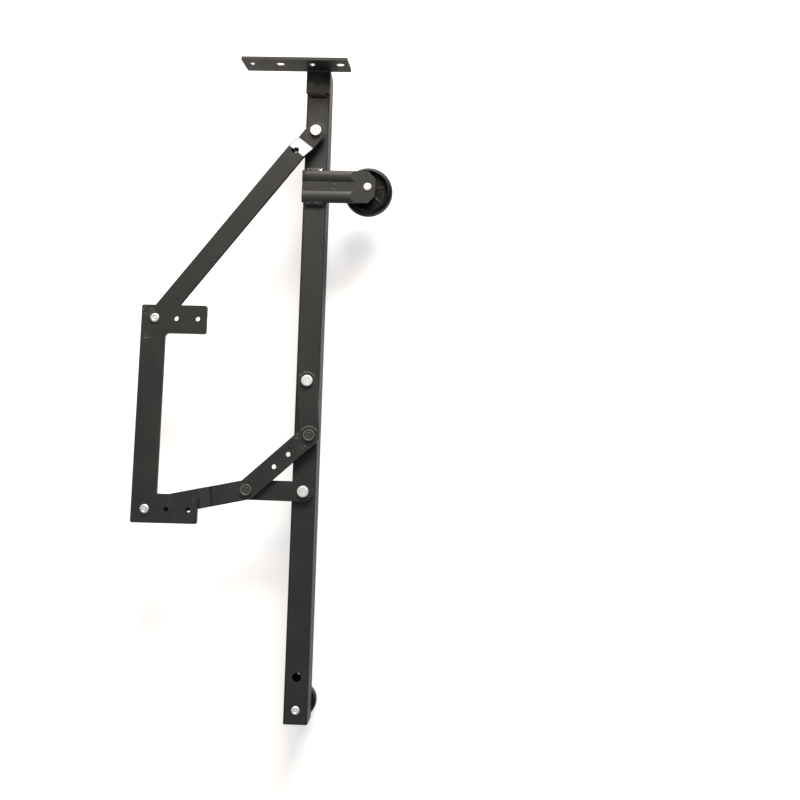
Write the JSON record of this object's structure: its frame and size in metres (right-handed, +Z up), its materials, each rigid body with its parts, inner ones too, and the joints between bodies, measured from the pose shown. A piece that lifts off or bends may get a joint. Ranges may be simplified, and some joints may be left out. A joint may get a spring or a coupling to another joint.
{
  "type": "sofa bed hinge",
  "caption": "Folding sofa bed hinge: a square rail with rollers and a top bracket, and a C-shaped seat plate carried by flat pivoted links.",
  "frame": {"origin": "the rail's centre line on the top bracket's outer face, at the height of the bracket's row of holes", "axes": "+Y along the rail, out through the top bracket; +X away from the seat plate, towards the large roller; +Z up through the stack of links, along every pivot"},
  "size_m": [0.2466, 0.6695, 0.073],
  "materials": {
    "black_paint": "semi-gloss black powder coat",
    "zinc_plated_steel": "dull zinc plating",
    "nylon_washer": "thin black nylon",
    "black_plastic": "glossy moulded nylon"
  },
  "bodies": {
    "rail": {"rail_tube": "black_paint", "top_bracket": "black_paint", "top_bracket_weld": "black_paint", "roller_arm": "black_paint", "roller_arm_weld": "black_paint", "upper_link_pin": "zinc_plated_steel", "upper_link_spacer": "zinc_plated_steel", "guide_link_pin": "zinc_plated_steel", "guide_link_washer": "nylon_washer", "short_link_pin": "zinc_plated_steel", "short_link_washer": "nylon_washer", "roller_axle": "zinc_plated_steel", "roller_spacer": "zinc_plated_steel", "roller_washer": "zinc_plated_steel", "foot_axle": "zinc_plated_steel", "foot_inner_washer": "zinc_plated_steel", "foot_outer_washer": "zinc_plated_steel"},
    "upper_link": {"upper_link": "black_paint", "seat_top_rivet": "zinc_plated_steel", "seat_top_washer": "nylon_washer"},
    "seat_plate": {"seat_plate": "black_paint", "seat_bottom_rivet": "zinc_plated_steel", "seat_bottom_washer": "nylon_washer"},
    "guide_link": {"guide_link": "black_paint"},
    "lever": {"lever": "black_paint", "lever_top_rivet": "black_paint", "lever_middle_rivet": "black_paint", "lever_top_washer": "nylon_washer", "lever_middle_washer": "nylon_washer"},
    "short_link": {"short_link": "black_paint"},
    "roller_wheel": {"roller_wheel": "black_plastic"},
    "foot_roller": {"foot_roller": "black_plastic"}
  },
  "joints": [
    {"name": "upper_link_swing", "type": "hinge", "parent": "rail", "child": "upper_link", "pos_m": [0, -0.071, -0.007], "axis": [0, 0, -1], "range_deg": [0, 17.13]},
    {"name": "seat_plate_turn", "type": "hinge", "parent": "upper_link", "child": "seat_plate", "pos_m": [-0.153, -0.272, 0.003], "axis": [0, 0, 1], "range_deg": [0, 34.82]},
    {"name": "guide_link_swing", "type": "hinge", "parent": "rail", "child": "guide_link", "pos_m": [0, -0.33, -0.0115], "axis": [0, 0, 1], "range_deg": [0, 23.27]},
    {"name": "lever_turn", "type": "hinge", "parent": "guide_link", "child": "lever", "pos_m": [0.0045, -0.385, -0.007], "axis": [0, 0, -1], "range_deg": [0, 42.09]},
    {"name": "short_link_swing", "type": "hinge", "parent": "rail", "child": "short_link", "pos_m": [0, -0.441, -0.0115], "axis": [0, 0, -1], "range_deg": [0, 28.99]},
    {"name": "roller_spin", "type": "hinge", "parent": "rail", "child": "roller_wheel", "pos_m": [0.0546, -0.1275, -0.0275], "axis": [0, 0, 1], "continuous": true},
    {"name": "foot_roller_spin", "type": "hinge", "parent": "rail", "child": "foot_roller", "pos_m": [0, -0.6535, -0.052], "axis": [0, 0, 1], "continuous": true}
  ],
  "couplings": [
    {"joint": "seat_plate_turn", "follows": "upper_link_swing", "ratio": 2.032},
    {"joint": "guide_link_swing", "follows": "upper_link_swing", "ratio": 1.3577},
    {"joint": "lever_turn", "follows": "upper_link_swing", "ratio": 2.4567},
    {"joint": "short_link_swing", "follows": "upper_link_swing", "ratio": 1.6917}
  ]
}
